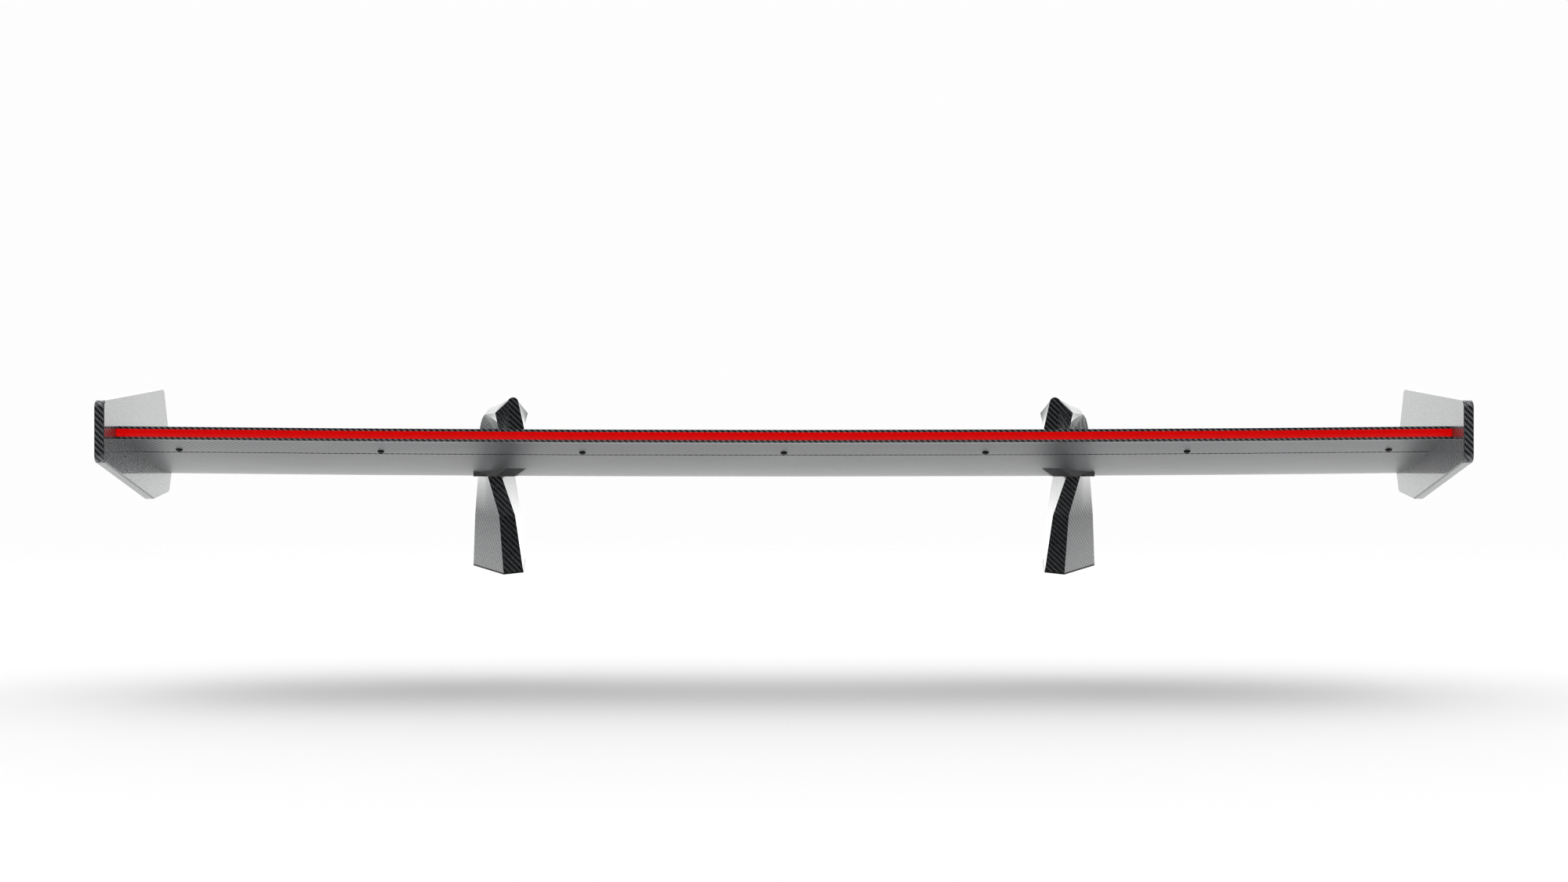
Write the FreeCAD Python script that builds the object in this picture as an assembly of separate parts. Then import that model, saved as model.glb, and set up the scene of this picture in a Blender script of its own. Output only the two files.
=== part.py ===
"""Racing rear wing with a light in its trailing edge, two endplates and two swan-neck uprights.

Millimetres. +X is to the right seen from behind, +Y is forward, +Z is up.
"""
import FreeCAD, Part
import math
import os
from collections import namedtuple
from FreeCAD import Vector

# Wing: span and place
endplate_spacing = 1577.2       # clear width between the endplates
tip_rise = 4.4                  # the tips stand this much higher than the middle
trailing_edge_up = 165.5        # lower corner of the trailing edge over the feet, mid span
endplate_overhang = 50.0        # the endplates reach this far behind the trailing edge

# Wing section, measured ahead of and above the lower corner of the trailing edge
trailing_edge_height = 15.2
top_flat = 50.0                 # level rear part of the upper surface
shoulder_ahead = 259.0
shoulder_drop = 16.3
shoulder_angle = 17.0
nose_ahead = 269.0
nose_drop = 31.0
belly_ahead = 253.0             # lowest line of the underside
belly_drop = 43.7
ramp_start = 56.4               # the level rear panel turns down here
ramp_angle = 19.0
ramp_blend = 4.5                # half the length of the bend there
skin = 3.0
bond = 0.05                     # glue between the skins and what lies against them

# Removable rear panel of the underside
seam_ahead = 104.6
seam_gap = 2.2
strip_thickness = 3.0
strip_overlap = 16.0            # the joint strip lies under the lower skin this far
strip_reach = 20.0              # and under the rear panel this far
panel_screw_count = 7
panel_screw_inset = 50.6        # the outermost screws from the endplates
panel_screw_setback = 10.5      # screws behind the seam
panel_screw_radius = 2.0
panel_screw_head_radius = 4.1
panel_screw_head_height = 1.7
panel_screw_length = 9.0
panel_screw_crown_radius = 2.8
panel_screw_socket_sunk = 1.0
panel_hole_depth = 12.0
rivet_nut_radius = 3.1
rivet_nut_length = 8.5

# Inside the wing
spar_thickness = 3.0
rear_spar_ahead = 132.0
front_spar_ahead = 172.0
clamp_block_width = 84.0
clamp_block_length = 82.0
clamp_block_out = 360.0         # middle of the clamp block from the middle of the wing
rib_thickness = 12.0
rib_setback = 18.0              # the end ribs start this far ahead of the trailing edge

# Light in the trailing edge
lens_recess = 0.8
lens_depth = 6.0
lens_crown = 0.7
channel_depth = 8.0
channel_wall = 1.1
board_thickness = 1.2
chip_width = 3.5
chip_height = 2.8
chip_depth = 1.2
chip_pitch = 24.0
end_seal_width = 5.0

# Endplates: heights above the trailing edge's lower corner at the tip
endplate_thickness = 11.9
endplate_rim = 1.6
endplate_length = 305.0
endplate_rear_top = 44.7
endplate_rear_bottom = 26.3
endplate_front_top = 63.7
endplate_brow_setback = 37.0    # top front corner behind the foremost point
endplate_cheek_setback = 18.0
endplate_cheek = 17.7
endplate_lip = 43.3             # the foremost point lies below that corner
endplate_chin = 67.3
endplate_chin_setback = 12.0
endplate_keel = 75.0
endplate_keel_setback = 86.0
endplate_rear_radius = 9.0
endplate_front_radius = 7.0
endplate_cheek_radius = 70.0
endplate_screw_aheads = (62.0, 148.0, 228.0)
endplate_screw_radius = 2.5
endplate_screw_head_radius = 5.0
endplate_screw_head_depth = 2.9
endplate_screw_grip = 10.0      # length in the end rib
socket_radius = 1.7
socket_depth = 1.6

# Uprights: place and turn
foot_out = 341.8                # middle of the foot's rear edge from the middle of the wing
foot_behind_nose = 71.0         # the foot's rear edge lies this far behind the wing's nose
toe = 19.0                      # the uprights turn out by this angle towards the front
lid_slope = 6.0                 # the boot lid rises forward
lid_fall = 2.9                  # and falls away outboard

# Upright: shape, ahead of the foot's rear edge along the turned-out line
foot_length = 142.0
foot_tail_half = 13.0
foot_broad_ahead = 101.0
foot_broad_half = 35.0
crease_ahead = 29.2
crease_up = 72.6
crease_tail_half = 10.3
crease_broad_half = 30.5
neck_ahead = 40.4
neck_tail_half = 9.0
neck_broad_ahead = 102.7
neck_broad_half = 24.5
neck_lean = 15.8                # the neck's rear edge leans outboard
crease_lean = 2.0               # and the crease's by this much
foot_offset = 4.0               # the foot's broad part sits inboard of the line
arch_centre_ahead = 2.1
arch_length = 135.4             # nose of the arch ahead of its centre
arch_centre_up = 12.2           # centre of the arch above the nose of the wing
jaw_depth = 39.5                # height of the jaw at its rear end
throat_ahead = 87.0             # front of the throat
throat_length = 29.0            # the throat's roof starts this far behind its front
throat_drop = 5.4               # the throat's turn starts this far below the nose of the wing
throat_tail_half = 10.5
throat_broad = 19.0
throat_step = 15.0
throat_lead = 2.0
root_broad_half = 21.0
jaw_flare_length = 23.0         # the jaw is widest this far ahead of its rear end
jaw_flare_tail_half = 16.5
jaw_flare_broad = 20.0
jaw_flare_broad_half = 21.0
jaw_flare_lean = 2.0
jaw_flare_brow = 0.45
jaw_tip_behind = 19.0           # rear end of the jaw behind the foot's rear edge
jaw_tip_tail_half = 9.5
jaw_tip_crown = 4.5             # height of the rounded top of the rear end
jaw_tip_broad_half = 6.4
jaw_tip_lean = 5.0
brow_fullness = 0.75            # how square the sections are in front of their broadest place
wall = 3.5
wing_clearance = 0.5

# Saddles between wing and jaws
upper_saddle_height = 14.0      # at the rear end of the jaw
upper_saddle_length = 66.0
upper_saddle_half = 8.5
lower_saddle_reach = 100.0      # rear tip behind the wing's nose
lower_saddle_tip_width = 24.0
lower_saddle_inner = 322.0      # inboard corner of the tip from the middle of the wing
lower_saddle_width = 71.0
lower_saddle_length = 66.0
lower_saddle_sweep = 19.0       # the outboard corner lies this far ahead of the tip
lower_saddle_undercut = 28.0    # the tip's lower edge lies ahead of its upper edge
lower_saddle_draft = 19.0       # and the inboard side leans outboard going down
lower_saddle_corner = 12.0
lower_saddle_taper_height = 11.0

# Fastening of the jaws
stud_radius = 3.0
stud_grip = 18.0                # in the clamp block
stud_count = 2
stud_spacing = 34.0
stud_first_ahead = 2.0
insert_radius = 4.5
insert_length = 18.0
hole_clearance = 0.3
saddle_screw_radius = 2.0
saddle_screw_head_radius = 3.9
saddle_screw_head_depth = 1.9
saddle_screw_grip = 12.0
saddle_screw_behind_nose = 66.0
saddle_screw_count = 2
saddle_screw_spacing = 26.0
saddle_screw_out = 353.0

# Feet
gasket_thickness = 2.0
base_thickness = 12.0
base_hole_radius = 4.0
base_hole_aheads = (34.0, 112.0)
base_hole_out = -2.0
base_pocket_radius = 4.6
base_pocket_depth = 12.0
base_collar_radius = 7.0        # collars round the base plate's holes reach down through the gasket
grommet_ahead = 72.0
grommet_radius = 7.0
grommet_bore = 3.5

# Worked out from the above
half_spacing = endplate_spacing / 2
nose_y = endplate_overhang + nose_ahead
toe_angle = math.radians(toe)
foot_y = nose_y - foot_behind_nose

Station = namedtuple("Station", "ahead height heading")
Section = namedtuple("Section", "ahead up tilt depth broad tail_out tail_half broad_out broad_half brow",
                     defaults=[brow_fullness])


# ---------------------------------------------------------------- wing section

def underside(ahead):
    """A place on the curve that falls from the level rear panel to the belly."""
    corner = ramp_start + belly_drop / math.tan(math.radians(ramp_angle))
    lead = corner - ramp_start
    bend = belly_ahead - corner - lead
    share = (math.sqrt(lead ** 2 + bend * (ahead - ramp_start)) - lead) / bend
    slope = math.atan2(belly_drop * (1 - share), lead + bend * share)
    return Station(ahead, -belly_drop * share * (2 - share), 180.0 - math.degrees(slope))


TRAILING_TOP = Station(0.0, trailing_edge_height, 0.0)
TOP_FRONT = Station(top_flat, trailing_edge_height, 0.0)
SHOULDER = Station(shoulder_ahead, -shoulder_drop, -shoulder_angle)
NOSE = Station(nose_ahead, -nose_drop, -90.0)
BELLY = Station(belly_ahead, -belly_drop, 180.0)
FLAT_FRONT = Station(ramp_start - ramp_blend, 0.0, 180.0)
TRAILING_BOTTOM = Station(0.0, 0.0, 180.0)
UPPER = [TRAILING_TOP, TOP_FRONT, SHOULDER, NOSE]
LOWER = [NOSE, BELLY, underside(seam_ahead)]
PANEL = [underside(seam_ahead - seam_gap), underside(ramp_start + ramp_blend),
         FLAT_FRONT, TRAILING_BOTTOM]


def inset_station(station, depth):
    """The station moved into the wing, square to the surface."""
    heading = math.radians(station.heading)
    ahead = station.ahead + depth * math.sin(heading)
    return Station(ahead, station.height - depth * math.cos(heading), station.heading)


def section_point(ahead, height):
    return Vector(0, endplate_overhang + ahead, trailing_edge_up + height)


def station_point(station):
    return section_point(station.ahead, station.height)


def station_edge(first, last):
    """A straight edge, or a curve that leaves and arrives along the two headings."""
    start = station_point(first)
    end = station_point(last)
    leave = math.radians(first.heading)
    arrive = math.radians(last.heading)
    turn = math.sin(arrive - leave)
    if abs(turn) < 1e-6:
        return Part.makeLine(start, end)
    gap = end - start
    reach = (gap.y * math.sin(arrive) - gap.z * math.cos(arrive)) / turn
    corner = start + Vector(0, math.cos(leave), math.sin(leave)) * reach
    curve = Part.BezierCurve()
    curve.setPoles([start, corner, end])
    return curve.toShape()


def surface_edges(stations, depth):
    moved = [inset_station(station, depth) for station in stations]
    return [station_edge(first, last) for first, last in zip(moved, moved[1:])]


def layer(stations, outer_depth, inner_depth):
    """A layer of the wing's wall between two depths below its surface."""
    edges = surface_edges(stations, outer_depth) + surface_edges(stations, inner_depth)
    for end in (stations[0], stations[-1]):
        outer = station_point(inset_station(end, outer_depth))
        inner = station_point(inset_station(end, inner_depth))
        edges.append(Part.makeLine(outer, inner))
    return Part.Face(Part.Wire(Part.__sortEdges__(edges)))


def wing_outline(depth):
    """The whole section, moved in by the depth, or out by a negative one."""
    stations = UPPER + [BELLY, underside(seam_ahead), underside(ramp_start + ramp_blend),
                        FLAT_FRONT, TRAILING_BOTTOM]
    edges = surface_edges(stations, depth)
    top = station_point(inset_station(TRAILING_TOP, depth))
    bottom = station_point(inset_station(TRAILING_BOTTOM, depth))
    edges.append(Part.makeLine(bottom, top))
    return Part.Face(Part.Wire(Part.__sortEdges__(edges)))


def rectangle(back, front, low, high):
    corners = [section_point(back, low), section_point(front, low),
               section_point(front, high), section_point(back, high)]
    return Part.Face(Part.makePolygon(corners + corners[:1]))


def inside_wing(back, front):
    """The hollow of the wing between two places ahead of the trailing edge."""
    tall = rectangle(back, front, -nose_ahead, nose_ahead)
    return wing_outline(skin + bond).common(tall).Faces[0]


def surface_heights(ahead, depth=0.0):
    """Lower and upper height of the section at a place ahead of the trailing edge."""
    upright = Part.makeLine(section_point(ahead, -nose_ahead), section_point(ahead, nose_ahead))
    box = wing_outline(depth).common(upright).BoundBox
    return box.ZMin - trailing_edge_up, box.ZMax - trailing_edge_up


def middle_height(ahead):
    low, high = surface_heights(ahead, skin)
    return (low + high) / 2


# ---------------------------------------------------------------- the wing's arch

def arch_rise(out):
    """The arch is a parabola, level at mid span."""
    return tip_rise * (out / half_spacing) ** 2


def at_span(shape, out):
    """A piece made at mid span, carried along the arch to its place."""
    moved = shape.copy()
    moved.translate(Vector(out, 0, arch_rise(out)))
    return moved


def simplest(shape):
    """The single solid of a shape, or the group of its solids."""
    solids = shape.removeSplitter().Solids
    return solids[0] if len(solids) == 1 else Part.makeCompound(solids)


def spline_of(edge):
    """The edge's curve as a spline between the edge's own ends."""
    first, last = edge.ParameterRange
    if not isinstance(edge.Curve, Part.BezierCurve):
        return edge.Curve.toBSpline(first, last)
    spline = edge.Curve.toBSpline()
    spline.segment(first, last)
    return spline


def arched(section, first, last):
    """A piece of one section that follows the arch, square at both ends."""
    middle = Vector((first + last) / 2, 0, tip_rise * first * last / half_spacing ** 2)
    across = [Vector(first, 0, arch_rise(first)), middle, Vector(last, 0, arch_rise(last))]
    faces = []
    for edge in section.OuterWire.Edges:
        curve = spline_of(edge)
        poles = [[pole + place for place in across] for pole in curve.getPoles()]
        surface = Part.BSplineSurface()
        surface.buildFromPolesMultsKnots(poles, curve.getMultiplicities(), (3, 3), curve.getKnots(),
                                         (0, 1), False, False, curve.Degree, 2)
        faces.append(surface.toShape())
    for place in (across[0], across[-1]):
        cap = section.copy()
        cap.translate(place)
        faces.append(cap)
    shell = Part.makeShell(faces)
    shell.sewShape()
    solid = Part.makeSolid(shell)
    if solid.Volume < 0:
        solid.reverse()
    return solid


def wing_solid(depth):
    reach = half_spacing + endplate_thickness
    return arched(wing_outline(depth), -reach, reach)


# ---------------------------------------------------------------- fasteners

def turned_piece(profile):
    """A round piece from (along, radius) points, along +X from the origin."""
    points = [Vector(along, radius, 0) for along, radius in profile]
    face = Part.Face(Part.makePolygon(points + points[:1]))
    return face.revolve(Vector(0, 0, 0), Vector(1, 0, 0), 360)


def aimed(shape, place, direction):
    moved = shape.copy()
    turn = FreeCAD.Rotation(Vector(1, 0, 0), direction)
    moved.Placement = FreeCAD.Placement(place, turn).multiply(moved.Placement)
    return moved


def rod(radius, length, place, direction):
    return Part.makeCylinder(radius, length, place, direction)


def hex_socket():
    corners = []
    for corner in range(7):
        angle = math.radians(60 * corner)
        corners.append(Vector(0, socket_radius * math.cos(angle), socket_radius * math.sin(angle)))
    return Part.Face(Part.makePolygon(corners)).extrude(Vector(socket_depth, 0, 0))


def countersunk_screw(radius, head_radius, head_depth, length):
    blank = turned_piece([(0, 0), (0, head_radius), (head_depth, radius), (length, radius), (length, 0)])
    return blank.cut(hex_socket())


def countersunk_hole(radius, head_radius, head_depth, length):
    wide = radius + hole_clearance
    return turned_piece([(0, 0), (0, head_radius), (head_depth, radius), (head_depth, wide),
                         (length, wide), (length, 0)])


# ---------------------------------------------------------------- rear panel fastening

def panel_screw_spans():
    reach = half_spacing - panel_screw_inset
    pitch = 2 * reach / (panel_screw_count - 1)
    return [number * pitch - reach for number in range(panel_screw_count)]


def panel_screw_frame():
    """Where a panel screw enters the panel, and the way it goes in."""
    station = underside(seam_ahead - panel_screw_setback)
    inward = station_point(inset_station(station, skin)) - station_point(station)
    return station_point(station), inward.normalize()


def along_panel_screws(shape):
    return [at_span(shape, out) for out in panel_screw_spans()]


def panel_screw():
    place, inward = panel_screw_frame()
    crown = -panel_screw_head_height
    profile = [(crown, 0), (crown, panel_screw_crown_radius), (crown / 2, panel_screw_head_radius),
               (0, panel_screw_head_radius), (0, panel_screw_radius),
               (panel_screw_length, panel_screw_radius), (panel_screw_length, 0)]
    socket = hex_socket()
    socket.translate(Vector(panel_screw_socket_sunk - socket_depth, 0, 0) + Vector(crown, 0, 0))
    return aimed(turned_piece(profile).cut(socket), place - inward * bond, inward)


def panel_hole(radius):
    place, inward = panel_screw_frame()
    return rod(radius, panel_hole_depth, place - inward * skin, inward)


def rivet_nut():
    place, inward = panel_screw_frame()
    start = place + inward * (skin + bond)
    sleeve = rod(rivet_nut_radius, rivet_nut_length, start, inward)
    thread = rod(panel_screw_radius, rivet_nut_length, start, inward)
    return sleeve.cut(thread)


# ---------------------------------------------------------------- wing pieces

def joint_strip():
    stations = [underside(seam_ahead + strip_overlap), underside(seam_ahead - strip_reach)]
    return layer(stations, skin + bond, skin + strip_thickness)


def spar(ahead):
    return inside_wing(ahead, ahead + spar_thickness)


def light_low():
    return skin


def light_high():
    return trailing_edge_height - skin


def channel_front():
    return lens_recess + lens_depth + channel_depth


def lens_section():
    low = light_low()
    high = light_high()
    front = lens_recess + lens_depth
    crown = Part.BezierCurve()
    crown.setPoles([section_point(lens_recess, low),
                    section_point(lens_recess - 2 * lens_crown, (low + high) / 2),
                    section_point(lens_recess, high)])
    sides = Part.makePolygon([section_point(lens_recess, high), section_point(front, high),
                              section_point(front, low), section_point(lens_recess, low)])
    return Part.Face(Part.Wire([crown.toShape()] + sides.Edges))


def channel_section():
    back = lens_recess + lens_depth
    outside = rectangle(back, channel_front(), light_low(), light_high())
    inside = rectangle(back, channel_front() - channel_wall, light_low() + channel_wall,
                       light_high() - channel_wall)
    return outside.cut(inside).Faces[0]


def board_section():
    front = channel_front() - channel_wall
    return rectangle(front - board_thickness, front, light_low() + channel_wall,
                     light_high() - channel_wall)


def light_chips():
    middle = (light_low() + light_high() - chip_height) / 2
    back = channel_front() - channel_wall - board_thickness - chip_depth
    corner = section_point(back, middle) - Vector(chip_width / 2, 0, 0)
    chip = Part.makeBox(chip_width, chip_depth, chip_height, corner)
    pairs = int((half_spacing - 2 * end_seal_width) // chip_pitch)
    return Part.makeCompound([at_span(chip, number * chip_pitch) for number in range(-pairs, pairs + 1)])


def end_seals():
    section = rectangle(lens_recess + lens_depth, channel_front(), light_low(), light_high())
    inner = half_spacing - end_seal_width
    return Part.makeCompound([arched(section, inner, half_spacing), arched(section, -half_spacing, -inner)])


# ---------------------------------------------------------------- endplates

def rounded_face(corners, radii):
    """A flat face in the YZ plane with a round at each corner."""
    edges = []
    ends = []
    count = len(corners)
    for number in range(count):
        corner = corners[number]
        back = (corners[number - 1] - corner).normalize()
        on = (corners[(number + 1) % count] - corner).normalize()
        half_turn = back.getAngle(on) / 2
        middle = (back + on).normalize()
        radius = radii[number]
        start = corner + back * (radius / math.tan(half_turn))
        end = corner + on * (radius / math.tan(half_turn))
        centre = corner + middle * (radius / math.sin(half_turn))
        edges.append(Part.Arc(start, centre - middle * radius, end).toShape())
        ends.append((start, end))
    for number in range(count):
        edges.append(Part.makeLine(ends[number - 1][1], ends[number][0]))
    return Part.Face(Part.Wire(Part.__sortEdges__(edges)))


def endplate_corner(ahead, height):
    return Vector(half_spacing, ahead, trailing_edge_up + tip_rise + height)


def endplate_screw_places():
    outer = half_spacing + endplate_thickness
    return [section_point(ahead, middle_height(ahead) + tip_rise) + Vector(outer, 0, 0)
            for ahead in endplate_screw_aheads]


def endplate_screw_length():
    return endplate_thickness + endplate_screw_grip


def endplate():
    front = endplate_length
    corners = [endplate_corner(0, -endplate_rear_bottom),
               endplate_corner(0, endplate_rear_top),
               endplate_corner(front - endplate_brow_setback, endplate_front_top),
               endplate_corner(front - endplate_cheek_setback, endplate_cheek),
               endplate_corner(front, -endplate_lip),
               endplate_corner(front - endplate_chin_setback, -endplate_chin),
               endplate_corner(front - endplate_keel_setback, -endplate_keel)]
    radii = [endplate_rear_radius, endplate_rear_radius, endplate_front_radius, endplate_cheek_radius,
             endplate_front_radius, endplate_front_radius, endplate_rear_radius]
    plate = rounded_face(corners, radii).extrude(Vector(endplate_thickness, 0, 0))
    rims = [edge for edge in plate.Edges if edge.BoundBox.XLength < endplate_rim / 2]
    plate = plate.makeFillet(endplate_rim, rims)
    hole = countersunk_hole(endplate_screw_radius, endplate_screw_head_radius,
                            endplate_screw_head_depth, endplate_screw_length())
    for place in endplate_screw_places():
        plate = plate.cut(aimed(hole, place, Vector(-1, 0, 0)))
    return plate


def endplate_screws():
    screw = countersunk_screw(endplate_screw_radius, endplate_screw_head_radius,
                              endplate_screw_head_depth, endplate_screw_length())
    return Part.makeCompound([aimed(screw, place, Vector(-1, 0, 0)) for place in endplate_screw_places()])


def end_rib():
    rib = arched(inside_wing(rib_setback, nose_ahead), half_spacing - rib_thickness, half_spacing)
    for place in endplate_screw_places():
        rib = rib.cut(rod(endplate_screw_radius, endplate_screw_length(), place, Vector(-1, 0, 0)))
    return rib


# ---------------------------------------------------------------- uprights

def upright_point(ahead, out, up):
    """A place on the right upright, from the middle of its foot's rear edge."""
    x = foot_out + ahead * math.sin(toe_angle) + out * math.cos(toe_angle)
    y = foot_y + ahead * math.cos(toe_angle) - out * math.sin(toe_angle)
    return Vector(x, y, up)


def local_ahead(y):
    """How far ahead of the foot's rear edge a place on the turned-out line lies."""
    return (y - foot_y) / math.cos(toe_angle)


def wing_top(ahead, out=0.0):
    """Height of the wing's upper surface at a place on the upright."""
    place = upright_point(ahead, out, 0)
    return trailing_edge_up + surface_heights(place.y - endplate_overhang)[1] + arch_rise(place.x)


def belly_level():
    return trailing_edge_up - belly_drop + arch_rise(clamp_block_out)


def nose_level():
    return trailing_edge_up - nose_drop + arch_rise(clamp_block_out)


def jaw_seat():
    return wing_top(-jaw_tip_behind) + upper_saddle_height


def arch_reach(ahead, up, tilt):
    """Distance from a place in the throat to the outside of the arch, a quarter of an ellipse."""
    slope = math.radians(tilt)
    centre = nose_level() + arch_centre_up
    arch_height = jaw_seat() + jaw_depth - centre
    run = (ahead - arch_centre_ahead) / arch_length
    climb = (up - centre) / arch_height
    run_rate = math.cos(slope) / arch_length
    climb_rate = math.sin(slope) / arch_height
    square = run_rate ** 2 + climb_rate ** 2
    cross = run * run_rate + climb * climb_rate
    rest = run ** 2 + climb ** 2 - 1
    return (math.sqrt(cross ** 2 - square * rest) - cross) / square


def crease_section():
    return Section(crease_ahead, crease_up, 0, foot_length - crease_ahead,
                   foot_broad_ahead - crease_ahead, crease_lean, crease_tail_half,
                   -foot_offset / 2, crease_broad_half)


def stem_sections():
    """Level sections from under the foot to the bottom of the throat."""
    low = -gasket_thickness
    fall = low * crease_ahead / crease_up
    sole = Section(fall, low, 0, foot_length - fall, foot_broad_ahead - fall, 0, foot_tail_half,
                   -foot_offset, foot_broad_half)
    front = arch_centre_ahead + arch_length
    neck = Section(neck_ahead, belly_level(), 0, front - neck_ahead, neck_broad_ahead - neck_ahead,
                   neck_lean, neck_tail_half, 0, neck_broad_half)
    return [sole, crease_section(), neck, throat_section(0)]


def throat_section(turn):
    """Section of the hook where it has turned by this angle round the throat."""
    angle = math.radians(turn)
    share = turn / 90
    bottom = nose_level() - throat_drop
    ahead = throat_ahead - throat_length * (1 - math.cos(angle))
    up = bottom + (jaw_seat() - wing_clearance - bottom) * math.sin(angle)
    return Section(ahead, up, turn, arch_reach(ahead, up, turn), throat_broad,
                   neck_lean / 2 * (1 - share), throat_tail_half, jaw_tip_lean / 2 * share,
                   neck_broad_half + (root_broad_half - neck_broad_half) * share ** 2)


def nudged(section, ahead, up):
    return section._replace(ahead=section.ahead + ahead, up=section.up + up)


def throat_sections():
    """Sections that fan round the throat; the second and the last but one keep its ends square."""
    steps = [throat_section(throat_step * number) for number in range(int(90 / throat_step) + 1)]
    root = steps[-1]
    return [steps[0], nudged(steps[0], 0, throat_lead)] + steps[1:-1] + [
        nudged(root, throat_lead, 0), root]


def jaw_sections(tip_inset):
    """The root of the jaw, its flare and its rear end."""
    seat = jaw_seat() - wing_clearance
    ahead = jaw_flare_length - jaw_tip_behind
    flare = Section(ahead, seat, 90, arch_reach(ahead, seat, 90), jaw_flare_broad, jaw_flare_lean,
                    jaw_flare_tail_half, jaw_flare_lean, jaw_flare_broad_half, jaw_flare_brow)
    tip = Section(tip_inset - jaw_tip_behind, seat, 90, jaw_depth, jaw_depth - jaw_tip_crown,
                  0, jaw_tip_tail_half, jaw_tip_lean, jaw_tip_broad_half)
    return [throat_section(90), flare, tip]


def on_section(section, along, out):
    tilt = math.radians(section.tilt)
    return upright_point(section.ahead + along * math.cos(tilt), out,
                         section.up + along * math.sin(tilt))


def bezier(*points):
    curve = Part.BezierCurve()
    curve.setPoles(list(points))
    return curve.toShape()


def whole_outline(section, inset):
    """A section with a flat tail, straight sides and a round nose, moved in by the inset."""
    edges = []
    nose = on_section(section, section.depth - inset, section.broad_out)
    tails = []
    for side in (1, -1):
        half_width = section.broad_half - inset
        tail = on_section(section, inset, section.tail_out + side * (section.tail_half - inset))
        broad = on_section(section, section.broad, section.broad_out + side * half_width)
        brow = on_section(section, section.depth - inset,
                          section.broad_out + side * half_width * section.brow)
        edges += [Part.makeLine(tail, broad), bezier(broad, brow, nose)]
        tails.append(tail)
    edges.append(Part.makeLine(tails[1], tails[0]))
    return Part.Wire(Part.__sortEdges__(edges))


def outboard_outline(section, inset):
    """The outboard side of a section's middle line, taken well past its surface."""
    over = throat_lead
    far = 2 * foot_broad_half
    tail = on_section(section, -over, section.tail_out)
    nose = on_section(section, section.depth + over, section.broad_out)
    corners = [tail, on_section(section, -over, far), on_section(section, section.depth + over, far), nose]
    return Part.makePolygon(corners + corners[:1])


def upright_form(outline, inset=0.0):
    """A body with this outline along the whole upright, from under the foot to the jaw's end."""
    stretches = [(stem_sections(), True), (throat_sections(), False), (jaw_sections(inset), True)]
    lofts = [Part.makeLoft([outline(section, inset) for section in sections], True, straight)
             for sections, straight in stretches]
    return lofts[0].fuse(lofts[1:])


def lid_normal():
    ahead = Vector(0, 1, math.tan(math.radians(lid_slope)))
    out = Vector(1, 0, -math.tan(math.radians(lid_fall)))
    return out.cross(ahead).normalize()


def lid_point(ahead, out, height=0.0):
    """A place over the foot, at a height square to the boot lid."""
    flat = upright_point(ahead, out, 0)
    normal = lid_normal()
    origin = upright_point(0, 0, 0)
    drop = (flat - origin).dot(normal) / normal.z
    return flat - Vector(0, 0, drop) + normal * height


def lid_slab(low, high):
    """Everything over the right foot between two heights above the boot lid."""
    reach = 2 * foot_length
    corners = [lid_point(-reach, -reach, low), lid_point(reach, -reach, low),
               lid_point(reach, reach, low), lid_point(-reach, reach, low)]
    face = Part.Face(Part.makePolygon(corners + corners[:1]))
    return face.extrude(lid_normal() * (high - low))


def upper_saddle():
    """Block between the wing's upper surface and the flat seat of the jaw."""
    back = -jaw_tip_behind + wing_clearance
    front = back + upper_saddle_length
    low = belly_level()
    corners = [upright_point(back, -upper_saddle_half, low), upright_point(front, -upper_saddle_half, low),
               upright_point(front, upper_saddle_half, low), upright_point(back, upper_saddle_half, low)]
    face = Part.Face(Part.makePolygon(corners + corners[:1]))
    block = face.extrude(Vector(0, 0, jaw_seat() - low))
    return top_solid(block.cut(wing_solid(0)))


def top_solid(shape):
    return max(shape.Solids, key=lambda solid: solid.CenterOfMass.z)


def bottom_solid(shape):
    return min(shape.Solids, key=lambda solid: solid.CenterOfMass.z)


def lower_saddle_wire(level, lead, lean):
    """Outline of the lower saddle at one level."""
    tip = nose_y - lower_saddle_reach
    inner = lower_saddle_inner
    outer = inner + lower_saddle_width
    front = tip + lower_saddle_length
    corner = lower_saddle_corner
    places = [(inner + lean, tip + lead), (inner + lower_saddle_tip_width + lean, tip + lead),
              (outer - corner, tip + lower_saddle_sweep + lead / 2),
              (outer, tip + lower_saddle_sweep + corner), (outer, front), (inner + lean, front)]
    corners = [Vector(x, y, level) for x, y in places]
    return Part.makePolygon(corners + corners[:1])


def lower_saddle():
    """Wedge between the underside's ramp and a level face at the height of the belly."""
    level = belly_level()
    top = level + lower_saddle_taper_height
    low = lower_saddle_wire(level, lower_saddle_undercut, lower_saddle_draft)
    high = lower_saddle_wire(top, 0, 0)
    cap = lower_saddle_wire(level + belly_drop, 0, 0)
    block = Part.makeLoft([low, high, cap], True, True)
    return bottom_solid(block.cut(wing_solid(0)))


def stud_places():
    return [upright_point(stud_first_ahead + number * stud_spacing, 0, 0) for number in range(stud_count)]


def stud_foot(place):
    ahead = place.y - endplate_overhang
    top = trailing_edge_up + surface_heights(ahead)[1] + arch_rise(place.x)
    return Vector(place.x, place.y, top - stud_grip)


def jaw_studs(radius, top):
    studs = []
    for place in stud_places():
        start = stud_foot(place)
        studs.append(rod(radius, top - start.z, start, Vector(0, 0, 1)))
    return Part.makeCompound(studs)


def insert_place(place):
    return Vector(place.x, place.y, jaw_seat() + wall)


def jaw_inserts(radius):
    return Part.makeCompound([rod(radius, insert_length, insert_place(place), Vector(0, 0, 1))
                              for place in stud_places()])


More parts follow.
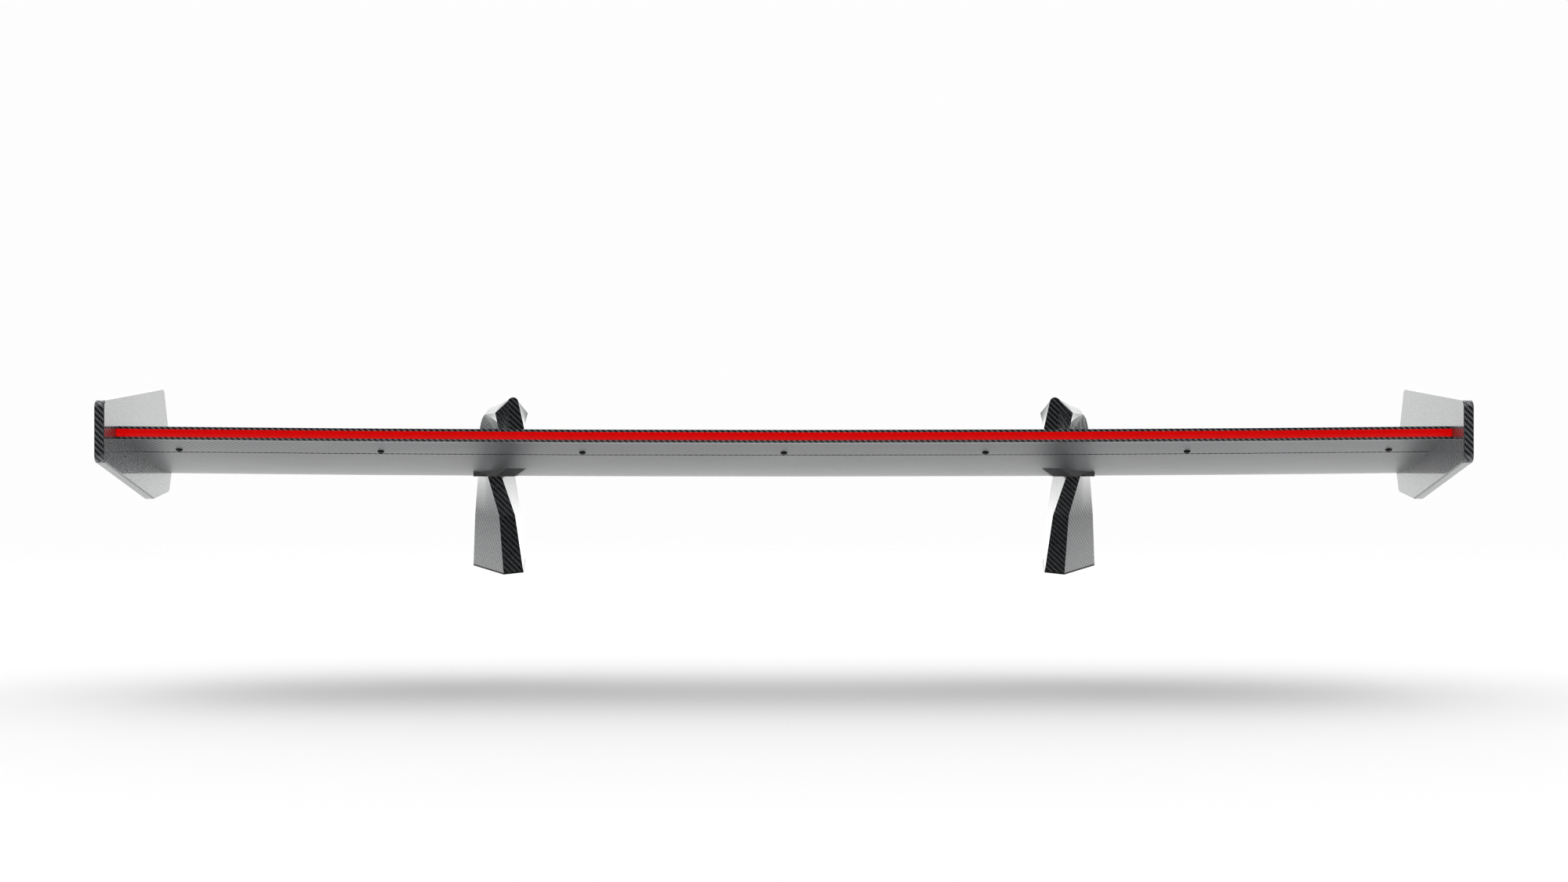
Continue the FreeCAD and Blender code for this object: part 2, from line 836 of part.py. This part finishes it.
def saddle_screw_places():
    y = nose_y - saddle_screw_behind_nose
    return [Vector(saddle_screw_out + number * saddle_screw_spacing, y, belly_level())
            for number in range(saddle_screw_count)]


def saddle_screws(piece):
    return Part.makeCompound([aimed(piece, place, Vector(0, 0, 1)) for place in saddle_screw_places()])


def saddle_screw_length():
    return saddle_screw_grip + skin


def base_rods(radius, low, high):
    """Rods on the base screws' lines, between two heights above the boot lid."""
    return Part.makeCompound([rod(radius, high - low, lid_point(ahead, base_hole_out, low), lid_normal())
                              for ahead in base_hole_aheads])


def grommet_rod(radius, high):
    return rod(radius, high, lid_point(grommet_ahead, base_hole_out), lid_normal())


def clamp_block():
    section = inside_wing(front_spar_ahead + spar_thickness,
                          front_spar_ahead + spar_thickness + clamp_block_length)
    half = clamp_block_width / 2
    return arched(section, clamp_block_out - half, clamp_block_out + half)


def mirrored(shape):
    return shape.mirror(Vector(0, 0, 0), Vector(1, 0, 0))


# ---------------------------------------------------------------- assembly

def wing_pieces():
    span = (-half_spacing, half_spacing)
    rib_span = (-half_spacing + rib_thickness, half_spacing - rib_thickness)
    seal_span = (-half_spacing + end_seal_width, half_spacing - end_seal_width)
    clearance_holes = along_panel_screws(panel_hole(panel_screw_radius + hole_clearance))
    nut_holes = along_panel_screws(panel_hole(rivet_nut_radius))
    return {
        "wing_upper_skin": arched(layer(UPPER, 0, skin), *span),
        "wing_lower_skin": arched(layer(LOWER, 0, skin), *span),
        "wing_rear_panel": simplest(arched(layer(PANEL, 0, skin), *span).cut(clearance_holes)),
        "panel_joint_strip": simplest(arched(joint_strip(), *rib_span).cut(nut_holes)),
        "rear_spar": arched(spar(rear_spar_ahead), *rib_span),
        "front_spar": arched(spar(front_spar_ahead), *rib_span),
        "panel_screws": Part.makeCompound(along_panel_screws(panel_screw())),
        "panel_rivet_nuts": Part.makeCompound(along_panel_screws(rivet_nut())),
        "light_lens": arched(lens_section(), *span),
        "light_channel": arched(channel_section(), *seal_span),
        "light_board": arched(board_section(), *seal_span),
        "light_chips": light_chips(),
        "light_end_seals": end_seals()}


def right_tip_pieces():
    return {"endplate": endplate(), "endplate_screws": endplate_screws(), "end_rib": end_rib()}


def right_upright_pieces():
    upper = upper_saddle()
    lower = lower_saddle()
    keep_out = wing_solid(-wing_clearance)
    core_keep_out = wing_solid(-wing_clearance - wall)
    ground = lid_slab(-foot_length, gasket_thickness)
    body = upright_form(whole_outline)
    outboard = upright_form(outboard_outline)
    hollow = upright_form(whole_outline, wall).cut(core_keep_out)
    base_low = gasket_thickness
    base_high = base_low + base_thickness
    stud_top = jaw_seat() + wall + insert_length
    stud_holes = jaw_studs(stud_radius + hole_clearance, stud_top)
    studs = jaw_studs(stud_radius, stud_top)
    inserts = jaw_inserts(insert_radius)
    screw_size = (saddle_screw_radius, saddle_screw_head_radius, saddle_screw_head_depth,
                  saddle_screw_length())
    screw_holes = saddle_screws(countersunk_hole(*screw_size))
    pieces = {}
    shell = body.cut([keep_out, upper, lower, ground]).cut(hollow).cut([stud_holes, inserts])
    pieces["upright_outer_shell"] = simplest(shell.common(outboard))
    pieces["upright_inner_shell"] = simplest(shell.cut(outboard))
    plate = hollow.common(lid_slab(base_low, base_high)).fuse(base_rods(base_collar_radius, 0, base_low))
    pieces["base_plate"] = simplest(plate.cut(base_rods(base_hole_radius, 0, base_high)))
    pieces["upright_core"] = simplest(hollow.cut(lid_slab(-foot_length, base_high)).cut(
        [inserts, stud_holes, base_rods(base_pocket_radius, 0, base_high + base_pocket_depth)]))
    pieces["base_gasket"] = simplest(body.common(lid_slab(0, gasket_thickness)).cut(
        base_rods(base_collar_radius + hole_clearance, 0, gasket_thickness)))
    pieces["upper_saddle"] = simplest(upper.cut(stud_holes))
    pieces["lower_saddle"] = simplest(lower.cut(screw_holes))
    pieces["jaw_studs"] = studs
    pieces["jaw_inserts"] = simplest(inserts.cut(studs))
    pieces["saddle_screws"] = saddle_screws(countersunk_screw(*screw_size))
    pieces["clamp_block"] = simplest(clamp_block().cut([studs, saddle_screws(rod(
        saddle_screw_radius, saddle_screw_length(), Vector(0, 0, 0), Vector(1, 0, 0)))]))
    return pieces


def assembly():
    pieces = wing_pieces()
    paired = {**right_tip_pieces(), **right_upright_pieces()}
    for name, shape in paired.items():
        pieces[name + "_right"] = shape
        pieces[name + "_left"] = mirrored(shape)
    stud_top = jaw_seat() + wall
    stud_holes = jaw_studs(stud_radius + hole_clearance, stud_top)
    screw_holes = saddle_screws(rod(saddle_screw_radius + hole_clearance, saddle_screw_length(),
                                    Vector(0, 0, 0), Vector(1, 0, 0)))
    for name, holes in (("wing_upper_skin", stud_holes), ("wing_lower_skin", screw_holes)):
        pieces[name] = simplest(pieces[name].cut([holes, mirrored(holes)]))
    grommet_top = gasket_thickness + base_thickness
    for name in ("base_gasket_left", "base_plate_left"):
        pieces[name] = simplest(pieces[name].cut(mirrored(grommet_rod(grommet_radius, grommet_top))))
    pieces["cable_grommet"] = mirrored(grommet_rod(grommet_radius, grommet_top).cut(
        grommet_rod(grommet_bore, grommet_top)))
    return pieces


def main():
    """Write every piece, with the origin at the bottom centre of the whole wing."""
    pieces = assembly()
    box = Part.makeCompound(list(pieces.values())).optimalBoundingBox(False, False)
    to_origin = Vector(0, -(box.YMin + box.YMax) / 2, -box.ZMin)
    os.makedirs("parts", exist_ok=True)
    for name, shape in pieces.items():
        moved = shape.copy()
        moved.translate(to_origin)
        moved.exportStep("parts/" + name + ".step")
    print("pieces:", len(pieces), "origin moved by", to_origin)


main()
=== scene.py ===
"""Looks of a racing rear wing: twill carbon, a red light strip, dark saddles and a pale studio."""
import math

import bmesh
import bpy
from bpy.props import FloatProperty, FloatVectorProperty, PointerProperty
from mathutils import Matrix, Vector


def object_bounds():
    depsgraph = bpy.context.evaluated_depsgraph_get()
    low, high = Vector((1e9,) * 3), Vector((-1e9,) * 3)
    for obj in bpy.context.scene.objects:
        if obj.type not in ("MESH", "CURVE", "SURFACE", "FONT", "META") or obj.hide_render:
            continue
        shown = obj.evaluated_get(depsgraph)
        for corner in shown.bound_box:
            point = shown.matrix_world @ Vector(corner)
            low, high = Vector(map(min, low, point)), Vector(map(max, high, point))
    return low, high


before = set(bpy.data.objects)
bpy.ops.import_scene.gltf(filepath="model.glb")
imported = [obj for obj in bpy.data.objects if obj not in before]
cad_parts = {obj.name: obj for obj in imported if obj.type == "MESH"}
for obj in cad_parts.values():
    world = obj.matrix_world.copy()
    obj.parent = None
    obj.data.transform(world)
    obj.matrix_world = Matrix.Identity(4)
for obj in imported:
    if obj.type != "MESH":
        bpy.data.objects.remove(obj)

bl_info = {
    "name": "Racing Rear Wing Looks",
    "version": (1, 0, 0),
    "blender": (4, 5, 0),
    "location": "View3D > Sidebar > Rear Wing",
    "description": "Dresses a carbon rear wing with its finishes and sets up a pale studio around it",
    "category": "Object",
}

LOADED_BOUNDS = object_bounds()
WING_MIDDLE = (LOADED_BOUNDS[0] + LOADED_BOUNDS[1]) / 2


# ---------------------------------------------------------------- sizes and colours

def colour(name, description, default):
    return FloatVectorProperty(name=name, description=description, default=default, subtype="COLOR",
                               size=3, min=0.0, max=1.0)


def length(name, description, default):
    return FloatProperty(name=name, description=description, default=default, unit="LENGTH",
                         subtype="DISTANCE", precision=5)


def amount(name, description, default, highest=1.0):
    return FloatProperty(name=name, description=description, default=default, min=0.0, max=highest)


def angle(name, description, degrees):
    return FloatProperty(name=name, description=description, default=math.radians(degrees),
                         unit="ROTATION", subtype="ANGLE")


class CarbonSettings(bpy.types.PropertyGroup):
    """Weave and lacquer of the carbon fibre pieces."""
    tow: length("Tow width", "Width of one flat tow of the weave", 0.00175)
    warp: colour("Warp", "Tint of the tows that run up or forward", (0.010, 0.011, 0.013))
    # The weft tint is painted sheen: carbon tows are all near black, and the lighter tint stands in for
    # the highlight that the across tows catch.
    weft_tone_and_sheen: colour("Weft", "Tint of the tows that run across", (0.26, 0.275, 0.29))
    fibre: amount("Fibre streaks", "How strongly single fibres show along a tow", 0.35)
    fibres: FloatProperty(name="Fibre count", description="Streaks across one tow", default=14.0)
    relief: length("Relief", "Height of a tow's crown over its edges", 0.00012)
    gleam: amount("Tow roughness", "Roughness of the tows under the lacquer", 0.34)
    lacquer: amount("Lacquer roughness", "Roughness of the glossy clear coat", 0.02)
    satin: amount("Satin roughness", "Roughness of the flatted coat under the wing", 0.36)
    bare: colour("Bare cloth", "Tint of the cloth inside the wing", (0.012, 0.012, 0.013))


class LightSettings(bpy.types.PropertyGroup):
    """The light strip in the trailing edge."""
    red: colour("Lens red", "Glow of the lens", (0.59, 0.0, 0.0))
    body: colour("Lens body", "Plastic of the lens", (0.05, 0.0, 0.0))
    chip_pitch: length("Chip pitch", "Distance between the chips behind the lens", 0.024)
    hot_spots: amount("Hot spots", "How much brighter the lens glows over a chip", 0.05)


class FinishSettings(bpy.types.PropertyGroup):
    """Plain finishes of the smaller pieces."""
    saddle: colour("Saddle", "Moulded saddles between wing and uprights", (0.016, 0.016, 0.017))
    rubber: colour("Rubber", "Gaskets, end seals and grommet", (0.012, 0.012, 0.012))
    steel: colour("Steel", "Screws and studs", (0.42, 0.42, 0.43))
    blacked: colour("Blacked steel", "Screws of the rear panel", (0.012, 0.012, 0.013))
    alloy: colour("Alloy", "Base plates, nuts, inserts and light channel", (0.62, 0.62, 0.63))
    foam: colour("Foam", "Core of the uprights", (0.62, 0.52, 0.32))
    board: colour("Board", "Lacquer of the circuit board", (0.80, 0.80, 0.78))
    chip: colour("Chip", "Resin window of a light chip", (0.86, 0.66, 0.20))


class StudioSettings(bpy.types.PropertyGroup):
    """Camera, floor and light."""
    camera_back: length("Camera distance", "From the middle of the wing's box to the camera", 2.943)
    camera_up: length("Camera height", "Above the lowest point of the feet", 0.1687)
    lens: FloatProperty(name="Lens", description="Focal length", default=54.45, unit="CAMERA")
    floor_drop: length("Floor drop", "The wing floats this far above the floor", 0.142)
    floor_clear: length("Floor radius", "The floor is plain within this radius", 1.6)
    floor_fade: length("Floor fade", "And has melted into the background at this one", 5.0)
    floor_tint: colour("Floor", "Tint of the floor", (0.86, 0.86, 0.86))
    background: amount("Background", "Brightness of the background", 0.985)
    backdrop: amount("Backdrop", "Brightness of the lit wall in front of the wing", 1.6, 10.0)
    wall_full: angle("Wall's full light", "The wall is at its brightest this close to ahead", 42)
    wall_end: angle("Wall's end", "And gone this far round from ahead", 72)
    wall_top: angle("Wall's top", "It starts to fade at this height over the horizon", 20)
    wall_gone: angle("Wall's upper end", "And is gone at this one", 45)
    dim: amount("Dim side", "Brightness of the room elsewhere", 0.05, 10.0)
    roof: amount("Roof light", "Brightness of the soft light overhead", 1.45, 10.0)
    roof_start: angle("Roof's edge", "The roof light starts at this height over the horizon", 15)
    roof_full: angle("Roof's full light", "And is at its brightest from here up", 55)


# ---------------------------------------------------------------- shader maths

class Wire:
    """A number on its way through a material; arithmetic on it adds Math nodes."""

    def __init__(self, finish, socket):
        self.finish = finish
        self.socket = socket

    def __add__(self, other):
        return self.finish.math("ADD", self, other)

    def __sub__(self, other):
        return self.finish.math("SUBTRACT", self, other)

    def __mul__(self, other):
        return self.finish.math("MULTIPLY", self, other)

    def __truediv__(self, other):
        return self.finish.math("DIVIDE", self, other)

    def __radd__(self, other):
        return self.finish.math("ADD", other, self)

    def __rsub__(self, other):
        return self.finish.math("SUBTRACT", other, self)

    def __rmul__(self, other):
        return self.finish.math("MULTIPLY", other, self)

    def __gt__(self, other):
        return self.finish.math("GREATER_THAN", self, other)

    def __lt__(self, other):
        return self.finish.math("LESS_THAN", self, other)


class Finish:
    """A material, or the world, under construction."""

    def __init__(self, tree):
        self.tree = tree
        tree.nodes.clear()

    def node(self, kind, settings=None, inputs=None):
        """Add a node: first its settings, then the values or links of its sockets."""
        made = self.tree.nodes.new(kind)
        for name, value in (settings or {}).items():
            setattr(made, name, value)
        for key, value in (inputs or {}).items():
            if isinstance(value, Wire):
                value = value.socket
            if isinstance(value, bpy.types.NodeSocket):
                self.tree.links.new(value, made.inputs[key])
            else:
                made.inputs[key].default_value = value
        return made

    def math(self, operation, *values):
        made = self.node("ShaderNodeMath", {"operation": operation}, dict(enumerate(values)))
        return Wire(self, made.outputs[0])

    def split(self, socket):
        """The three numbers of a vector."""
        parts = self.node("ShaderNodeSeparateXYZ", None, {0: socket}).outputs
        return [Wire(self, part) for part in parts]

    def join(self, x, y, z):
        return self.node("ShaderNodeCombineXYZ", None, {0: x, 1: y, 2: z}).outputs[0]

    def place(self):
        """Object coordinates in metres."""
        return self.node("ShaderNodeTexCoord").outputs["Object"]

    def smooth(self, value, start, end):
        made = self.node("ShaderNodeMapRange", {"interpolation_type": "SMOOTHSTEP"},
                         {"Value": value, "From Min": start, "From Max": end})
        return Wire(self, made.outputs["Result"])

    def blend(self, share, first, second):
        """A colour between two, each a colour socket or an RGB tuple."""
        colours = {key: value if isinstance(value, bpy.types.NodeSocket) else (*value, 1.0)
                   for key, value in ((6, first), (7, second))}
        made = self.node("ShaderNodeMix", {"data_type": "RGBA"}, {0: share, **colours})
        return made.outputs[2]

    def noise(self, vector, scale, detail=2.0):
        made = self.node("ShaderNodeTexNoise", None, {"Vector": vector, "Scale": scale, "Detail": detail})
        return Wire(self, made.outputs["Fac"])

    def bump(self, height, distance, strength=1.0):
        return self.node("ShaderNodeBump", None, {"Height": height, "Distance": distance,
                                                  "Strength": strength}).outputs["Normal"]

    def surface(self, **inputs):
        """Finish with a Principled shader; names use _ where its sockets have a space."""
        values = {name.replace("_", " "): tuple(value) + (1.0,) if hasattr(value, "__len__") else value
                  for name, value in inputs.items()}
        shader = self.node("ShaderNodeBsdfPrincipled", None, values)
        self.node("ShaderNodeOutputMaterial", None, {"Surface": shader.outputs["BSDF"]})


def new_finish(name):
    material = bpy.data.materials.new(name)
    material.use_nodes = True
    return material, Finish(material.node_tree)


# ---------------------------------------------------------------- finishes

def flat_grid(finish):
    """Two coordinates in the plane that a face looks along, wrapping round the vertical edges."""
    x, y, z = finish.split(finish.place())
    nx, ny, nz = finish.split(finish.node("ShaderNodeNewGeometry").outputs["True Normal"])
    ax, ay, az = [finish.math("ABSOLUTE", part) for part in (nx, ny, nz)]
    sideways = (ax > ay) * (ax > az)
    level = (az > ax) * (az > ay)
    across = sideways * finish.math("SIGN", nx) * y + (1 - sideways) * x
    along = level * y + (1 - level) * z
    return across, along


def twill(name, settings, weft_tone_and_sheen, lacquer=None):
    """Two-over-two twill carbon, bare or under a clear coat of the given roughness. The lighter weft tows
    are painted sheen, and the darker tow edges are painted shade.
    """
    material, finish = new_finish(name)
    across, along = flat_grid(finish)
    s = across / settings.tow
    t = along / settings.tow
    column = finish.math("FLOOR", s)
    row = finish.math("FLOOR", t)
    in_column = finish.math("FRACT", s)
    in_row = finish.math("FRACT", t)
    warp_on_top = finish.math("FRACT", (column + row) * 0.25 + 0.125) < 0.5
    crossing = warp_on_top * in_column + (1 - warp_on_top) * in_row
    from_middle = crossing * 2 - 1
    crown = 1 - from_middle * from_middle
    tow_number = warp_on_top * column + (1 - warp_on_top) * (row + 0.5)
    tow_shade = finish.node("ShaderNodeTexWhiteNoise", {"noise_dimensions": "1D"},
                            {"W": tow_number}).outputs["Value"]
    fibres = settings.fibres
    fibre_place = finish.join(warp_on_top * s * fibres + (1 - warp_on_top) * s * 0.5,
                              warp_on_top * t * 0.5 + (1 - warp_on_top) * t * fibres, warp_on_top * 7)
    streak = finish.noise(fibre_place, 1.0, 1.0)
    cloud = finish.noise(finish.place(), 9.0)
    # Weft tows get the weft tint with a random tone per tow; their lightness over the warp is painted
    # sheen.
    sheen_painted_tow = finish.blend(Wire(finish, tow_shade) * 0.30, tuple(weft_tone_and_sheen),
                             tuple(part * 0.72 for part in weft_tone_and_sheen))
    tows = finish.blend(warp_on_top, sheen_painted_tow, settings.warp)
    # Painted shade: each tow is darkened towards its edges, where it dips under its neighbours. The fibre
    # streaks and the cloud are random tone of the cloth.
    shaded = finish.blend((1 - crown) * 0.55 + streak * settings.fibre + cloud * 0.10, tows,
                          tuple(part * 0.5 for part in settings.warp))
    roughness = settings.gleam + streak * 0.12 + cloud * 0.06
    coat = {} if lacquer is None else {"Coat_Weight": 1.0, "Coat_Roughness": lacquer, "Coat_IOR": 1.5}
    finish.surface(Base_Color=shaded, Metallic=0.85, Roughness=roughness,
                   Normal=finish.bump(crown, settings.relief), **coat)
    return material


def glowing_lens(name, settings):
    """Red plastic lens, lit from behind by evenly spaced chips."""
    material, finish = new_finish(name)
    x, y, z = finish.split(finish.place())
    wave = finish.math("COSINE", x * (2 * math.pi / settings.chip_pitch))
    grain = finish.noise(finish.place(), 900.0, 1.0)
    glow = finish.blend(wave * 0.5 + 0.5, tuple(part * (1 - settings.hot_spots) for part in settings.red),
                        tuple(settings.red))
    plastic = finish.blend(grain, settings.body, tuple(part * 0.8 for part in settings.body))
    finish.surface(Base_Color=plastic, Roughness=0.30 + grain * 0.08, Specular_IOR_Level=0.15,
                   Emission_Color=glow, Emission_Strength=1.0)
    return material


def moulded(name, tint, roughness, grain_size, relief):
    """Moulded plastic or rubber with a fine leathery grain."""
    material, finish = new_finish(name)
    grain = finish.noise(finish.place(), 1.0 / grain_size, 3.0)
    patch = finish.noise(finish.place(), 18.0)
    tone = finish.blend(grain * 0.35 + patch * 0.35, tint, tuple(part * 1.5 for part in tint))
    finish.surface(Base_Color=tone, Roughness=roughness + patch * 0.12,
                   Normal=finish.bump(grain, relief))
    return material


def machined(name, tint, roughness, lines):
    """Metal with fine tool lines, so many to a metre."""
    material, finish = new_finish(name)
    x, y, z = finish.split(finish.place())
    tool_lines = finish.noise(finish.join(x * lines, y * lines * 0.08, z * lines), 1.0)
    patch = finish.noise(finish.place(), 60.0)
    tone = finish.blend(tool_lines * 0.4 + patch * 0.2, tint, tuple(part * 0.6 for part in tint))
    finish.surface(Base_Color=tone, Metallic=1.0, Roughness=roughness + tool_lines * 0.15,
                   Normal=finish.bump(tool_lines, 0.00002))
    return material


def cellular(name, tint):
    """Rigid foam with closed cells."""
    material, finish = new_finish(name)
    cells = finish.node("ShaderNodeTexVoronoi", None, {"Vector": finish.place(), "Scale": 1400.0})
    depth = Wire(finish, cells.outputs["Distance"])
    # The cell pits are painted darker: painted shade in the hollows of the cells.
    tone = finish.blend(depth, tuple(part * 0.7 for part in tint), tint)
    finish.surface(Base_Color=tone, Roughness=0.85, Normal=finish.bump(depth, 0.0002))
    return material


def lacquered_board(name, tint):
    """White solder mask with a faint weave of the laminate beneath it."""
    material, finish = new_finish(name)
    x, y, z = finish.split(finish.place())
    weave = finish.math("SINE", x * 9000) * finish.math("SINE", z * 9000)
    tone = finish.blend(weave * 0.05 + 0.05, tint, tuple(part * 0.6 for part in tint))
    finish.surface(Base_Color=tone, Roughness=0.35 + weave * 0.03, Coat_Weight=0.4)
    return material


def resin_window(name, tint):
    material, finish = new_finish(name)
    speckle = finish.noise(finish.place(), 4000.0, 1.0)
    tone = finish.blend(speckle, tint, tuple(min(1.0, part * 1.2) for part in tint))
    finish.surface(Base_Color=tone, Roughness=0.25 + speckle * 0.1, Coat_Weight=0.5)
    return material


# ---------------------------------------------------------------- dressing

def dress(material, *names):
    """Give CAD nodes, and their left and right versions, a better material."""
    for name in names:
        for node in (name, name + "_left", name + "_right"):
            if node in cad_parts:
                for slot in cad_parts[node].material_slots:
                    slot.material = material


class WING_OT_carbon_skins(bpy.types.Operator):
    """Dress the wing, endplates and uprights in lacquered twill"""
    bl_idname = "rear_wing.carbon_skins"
    bl_label = "Carbon Skins"

    def execute(self, context):
        settings = context.scene.rear_wing_carbon
        dress(twill("lacquered_twill", settings, settings.weft_tone_and_sheen, settings.lacquer), "wing_upper_skin",
              "endplate", "upright_outer_shell", "upright_inner_shell")
        dress(twill("satin_twill", settings, settings.weft_tone_and_sheen, settings.satin), "wing_lower_skin",
              "wing_rear_panel")
        return {"FINISHED"}


class WING_OT_inner_frame(bpy.types.Operator):
    """Dress the spars, ribs, blocks and cores inside the wing and the uprights"""
    bl_idname = "rear_wing.inner_frame"
    bl_label = "Inner Frame"

    def execute(self, context):
        finishes = context.scene.rear_wing_finishes
        carbon = context.scene.rear_wing_carbon
        dress(twill("bare_twill", carbon, carbon.bare), "panel_joint_strip", "rear_spar", "front_spar",
              "end_rib")
        dress(cellular("closed_cell_foam", tuple(finishes.foam)), "upright_core")
        dress(machined("milled_alloy", tuple(finishes.alloy), 0.30, 3000.0), "clamp_block",
              "base_plate", "jaw_inserts", "panel_rivet_nuts", "light_channel")
        return {"FINISHED"}


class WING_OT_light_strip(bpy.types.Operator):
    """Dress the lens, board and chips of the light strip"""
    bl_idname = "rear_wing.light_strip"
    bl_label = "Light Strip"

    def execute(self, context):
        finishes = context.scene.rear_wing_finishes
        dress(glowing_lens("glowing_red_lens", context.scene.rear_wing_light), "light_lens")
        dress(lacquered_board("white_board", tuple(finishes.board)), "light_board")
        dress(resin_window("chip_resin", tuple(finishes.chip)), "light_chips")
        return {"FINISHED"}


class WING_OT_saddles_and_rubber(bpy.types.Operator):
    """Dress the saddles, gaskets, end seals and grommet"""
    bl_idname = "rear_wing.saddles_and_rubber"
    bl_label = "Saddles and Rubber"

    def execute(self, context):
        finishes = context.scene.rear_wing_finishes
        dress(moulded("moulded_grey_saddle", tuple(finishes.saddle), 0.42, 0.0009, 0.00002),
              "upper_saddle", "lower_saddle")
        dress(moulded("black_rubber", tuple(finishes.rubber), 0.55, 0.0006, 0.00004), "base_gasket",
              "light_end_seals", "cable_grommet")
        return {"FINISHED"}


class WING_OT_fasteners(bpy.types.Operator):
    """Dress the screws and studs"""
    bl_idname = "rear_wing.fasteners"
    bl_label = "Fasteners"

    def execute(self, context):
        finishes = context.scene.rear_wing_finishes
        dress(machined("stainless_steel", tuple(finishes.steel), 0.24, 6000.0), "saddle_screws",
              "jaw_studs")
        dress(machined("blacked_steel", tuple(finishes.blacked), 0.35, 6000.0), "panel_screws",
              "endplate_screws")
        return {"FINISHED"}


# ---------------------------------------------------------------- studio

def studio_floor(settings):
    """A pale round floor that melts into the background."""
    floor = bpy.data.meshes.new("studio_floor")
    shape = bmesh.new()
    bmesh.ops.create_circle(shape, cap_ends=True, radius=settings.floor_fade * 1.2, segments=96,
                            matrix=Matrix.Translation((0, 0, -settings.floor_drop)))
    shape.to_mesh(floor)
    shape.free()
    placed = bpy.data.objects.new("studio_floor", floor)
    bpy.context.scene.collection.objects.link(placed)
    material, finish = new_finish("pale_floor")
    x, y, z = finish.split(finish.place())
    radius = finish.math("SQRT", x * x + y * y)
    grain = finish.noise(finish.place(), 40.0)
    tint = tuple(settings.floor_tint)
    tone = finish.blend(grain * 0.04, tint, tuple(part * 0.9 for part in tint))
    paint = finish.node("ShaderNodeBsdfDiffuse", None, {"Color": tone})
    clear = finish.node("ShaderNodeBsdfTransparent")
    underneath = Wire(finish, finish.node("ShaderNodeNewGeometry").outputs["Backfacing"])
    fade = finish.smooth(radius, settings.floor_clear, settings.floor_fade)
    share = finish.math("MAXIMUM", fade, underneath)
    mixed = finish.node("ShaderNodeMixShader", None, {0: share, 1: paint.outputs[0], 2: clear.outputs[0]})
    finish.node("ShaderNodeOutputMaterial", None, {"Surface": mixed.outputs[0]})
    floor.materials.append(material)


def studio_world(settings):
    """Bright wall in front of the wing, soft light overhead, dim room behind."""
    world = bpy.data.worlds.new("soft_studio")
    world.use_nodes = True
    bpy.context.scene.world = world
    sky = Finish(world.node_tree)
    x, y, z = sky.split(sky.node("ShaderNodeTexCoord").outputs["Generated"])
    below_roof = 1 - sky.smooth(z, math.sin(settings.wall_top), math.sin(settings.wall_gone))
    wall = below_roof * sky.smooth(y, math.cos(settings.wall_end), math.cos(settings.wall_full))
    roof = sky.smooth(z, math.sin(settings.roof_start), math.sin(settings.roof_full))
    brightness = settings.dim + wall * (settings.backdrop - settings.dim) + roof * settings.roof
    seen = Wire(sky, sky.node("ShaderNodeLightPath").outputs["Is Camera Ray"])
    shown = seen * settings.background + (1 - seen) * brightness
    light = sky.node("ShaderNodeBackground", None, {"Color": (1.0, 1.0, 1.0, 1.0), "Strength": shown})
    sky.node("ShaderNodeOutputWorld", None, {"Surface": light.outputs[0]})


def studio_camera(settings):
    """A level camera straight behind the wing."""
    camera = bpy.data.objects.new("studio_camera", bpy.data.cameras.new("studio_camera"))
    bpy.context.scene.collection.objects.link(camera)
    camera.data.lens = settings.lens
    camera.data.sensor_width = 36.0
    camera.location = (WING_MIDDLE.x, WING_MIDDLE.y - settings.camera_back, settings.camera_up)
    camera.rotation_euler = (math.radians(90), 0.0, 0.0)
    camera.data.clip_end = 100.0
    bpy.context.scene.camera = camera


class WING_OT_studio(bpy.types.Operator):
    """Set up the floor, the light and the camera"""
    bl_idname = "rear_wing.studio"
    bl_label = "Studio"

    def execute(self, context):
        settings = context.scene.rear_wing_studio
        studio_floor(settings)
        studio_world(settings)
        studio_camera(settings)
        context.scene.view_settings.view_transform = "Standard"
        return {"FINISHED"}


# ---------------------------------------------------------------- add-on

OPERATORS = (WING_OT_carbon_skins, WING_OT_inner_frame, WING_OT_light_strip,
             WING_OT_saddles_and_rubber, WING_OT_fasteners, WING_OT_studio)
SETTINGS = {"rear_wing_carbon": CarbonSettings, "rear_wing_light": LightSettings,
            "rear_wing_finishes": FinishSettings, "rear_wing_studio": StudioSettings}


class WING_PT_rear_wing(bpy.types.Panel):
    """Sidebar panel that lists the steps"""
    bl_idname = "WING_PT_rear_wing"
    bl_label = "Rear Wing"
    bl_space_type = "VIEW_3D"
    bl_region_type = "UI"
    bl_category = "Rear Wing"

    def draw(self, context):
        for operator in OPERATORS:
            self.layout.operator(operator.bl_idname)
        for name, group in SETTINGS.items():
            box = self.layout.box()
            for setting in group.__annotations__:
                box.prop(getattr(context.scene, name), setting)


def register():
    for group in SETTINGS.values():
        bpy.utils.register_class(group)
    for operator in OPERATORS:
        bpy.utils.register_class(operator)
    bpy.utils.register_class(WING_PT_rear_wing)
    for name, group in SETTINGS.items():
        setattr(bpy.types.Scene, name, PointerProperty(type=group))


def unregister():
    for name in SETTINGS:
        delattr(bpy.types.Scene, name)
    bpy.utils.unregister_class(WING_PT_rear_wing)
    for operator in reversed(OPERATORS):
        bpy.utils.unregister_class(operator)
    for group in reversed(SETTINGS.values()):
        bpy.utils.unregister_class(group)


def main():
    """Run every step in order."""
    register()
    for operator in OPERATORS:
        module, name = operator.bl_idname.split(".")
        getattr(getattr(bpy.ops, module), name)()


if __name__ == "__main__":
    main()
